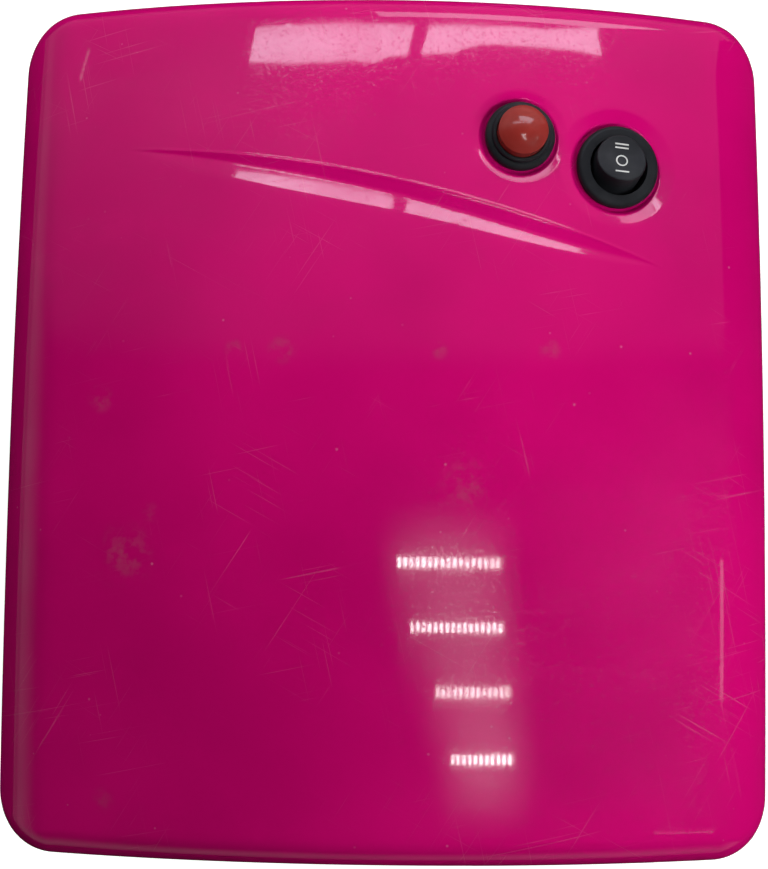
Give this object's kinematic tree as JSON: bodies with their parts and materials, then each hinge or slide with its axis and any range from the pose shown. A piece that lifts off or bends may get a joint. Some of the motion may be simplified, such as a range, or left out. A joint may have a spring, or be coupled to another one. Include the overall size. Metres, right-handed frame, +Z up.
{
  "type": "uv nail lamp",
  "caption": "Glossy pink arched table lamp for curing nail gel, with a front hand opening, slide-out mirror tray, plug-in tubes, push button and rocker switch.",
  "frame": {"origin": "centre of the footprint on the table, below the centre of the bounding box", "axes": "+X to the right of a user at the hand opening, +Y to the rear wall with the cord gland, +Z up"},
  "size_m": [0.21, 0.243, 0.1],
  "materials": {
    "cover": "glossy pink ABS",
    "base": "satin pink ABS",
    "fascia": "glossy pink ABS",
    "tray": "white ABS plate",
    "mirror": "bright aluminium sheet",
    "reflector": "polished aluminium sheet",
    "chamber": "white ABS",
    "tube_glass": "coated lamp glass, white inside",
    "tube_cap": "white lamp cap",
    "holder": "white lampholder",
    "clip_steel": "spring steel",
    "rivet": "aluminium",
    "rubber": "black rubber",
    "screw": "zinc plated",
    "black": "black switch plastic",
    "red": "dark red glossy cap",
    "brass": "brass",
    "spring": "spring steel",
    "board": "phenolic circuit board",
    "ferrite": "ferrite core and tape",
    "capacitor": "sleeved capacitor",
    "relay": "blue relay case",
    "glass": "fuse glass and end caps",
    "wire": "insulated wire"
  },
  "bodies": {
    "housing": {"ballast_board": "board", "ballast_capacitors": "capacitor", "ballast_chokes": "ferrite", "ballast_transistors": "black", "base_frame": "base", "board_screws": "screw", "button_body": "black", "button_nut": "black", "button_spring": "spring", "button_terminals": "brass", "clip_rivets": "rivet", "cord_gland": "rubber", "cover_screws": "screw", "foot_front_left": "rubber", "foot_front_right": "rubber", "foot_rear_left": "rubber", "foot_rear_right": "rubber", "fuse_holder": "black", "fuse_link": "glass", "fuse_nut": "black", "hood_reflector": "reflector", "lamp_chamber": "chamber", "lamp_wires": "wire", "lampholder_side_left": "holder", "lampholder_side_right": "holder", "lampholder_top_left": "holder", "lampholder_top_right": "holder", "mains_wires": "wire", "rear_reflector": "reflector", "rocker_housing": "black", "rocker_terminals": "brass", "switch_wires": "wire", "timer_board": "board", "timer_parts": "capacitor", "timer_relay": "relay", "top_cover": "cover", "tube_clips": "clip_steel"},
    "tray": {"tray_plate": "tray", "tray_mirror": "mirror", "tray_fascia": "fascia"},
    "button": {"button_cap": "red", "button_contact": "brass"},
    "rocker": {"rocker_paddle": "black", "rocker_plunger": "brass", "rocker_spring": "spring"},
    "contact": {"rocker_contact": "brass"},
    "cap": {"fuse_cap": "black"},
    "lamp_top_right": {"tube_top_right": "tube_glass", "tube_cap_top_right": "tube_cap"},
    "lamp_top_left": {"tube_top_left": "tube_glass", "tube_cap_top_left": "tube_cap"},
    "lamp_side_right": {"tube_side_right": "tube_glass", "tube_cap_side_right": "tube_cap"},
    "lamp_side_left": {"tube_side_left": "tube_glass", "tube_cap_side_left": "tube_cap"}
  },
  "joints": [
    {"name": "tray_slide", "type": "slide", "parent": "housing", "child": "tray", "axis": [0, -1, 0], "range_m": [0, 0.17]},
    {"name": "button_press", "type": "slide", "parent": "housing", "child": "button", "axis": [-0.0801, -0.0539, -0.9953], "range_m": [0, 0.0025], "stiffness_N_per_m": 400, "springref_m": -0.002, "deforming": ["button_spring"]},
    {"name": "rocker_tilt", "type": "hinge", "parent": "housing", "child": "rocker", "pos_m": [0.06044, 0.06404, 0.08534], "axis": [0.9848, 0, -0.1736], "range_deg": [0, 24]},
    {"name": "contact_rock", "type": "hinge", "parent": "housing", "child": "contact", "pos_m": [0.05905, 0.06371, 0.07747], "axis": [0.9848, 0, -0.1736], "range_deg": [-12, 0]},
    {"name": "fuse_cap_turn", "type": "hinge", "parent": "housing", "child": "cap", "pos_m": [0.04, 0.1115, 0.028], "axis": [0, 1, 0], "range_deg": [0, 60]},
    {"name": "lamp_pull_top_right", "type": "slide", "parent": "housing", "child": "lamp_top_right", "axis": [0, -1, 0], "range_m": [0, 0.014]},
    {"name": "lamp_pull_top_left", "type": "slide", "parent": "housing", "child": "lamp_top_left", "axis": [0, -1, 0], "range_m": [0, 0.014]},
    {"name": "lamp_pull_side_right", "type": "slide", "parent": "housing", "child": "lamp_side_right", "axis": [0, -1, 0], "range_m": [0, 0.014]},
    {"name": "lamp_pull_side_left", "type": "slide", "parent": "housing", "child": "lamp_side_left", "axis": [0, -1, 0], "range_m": [0, 0.014]}
  ],
  "couplings": [
    {"joint": "contact_rock", "follows": "rocker_tilt", "ratio": -0.5}
  ]
}
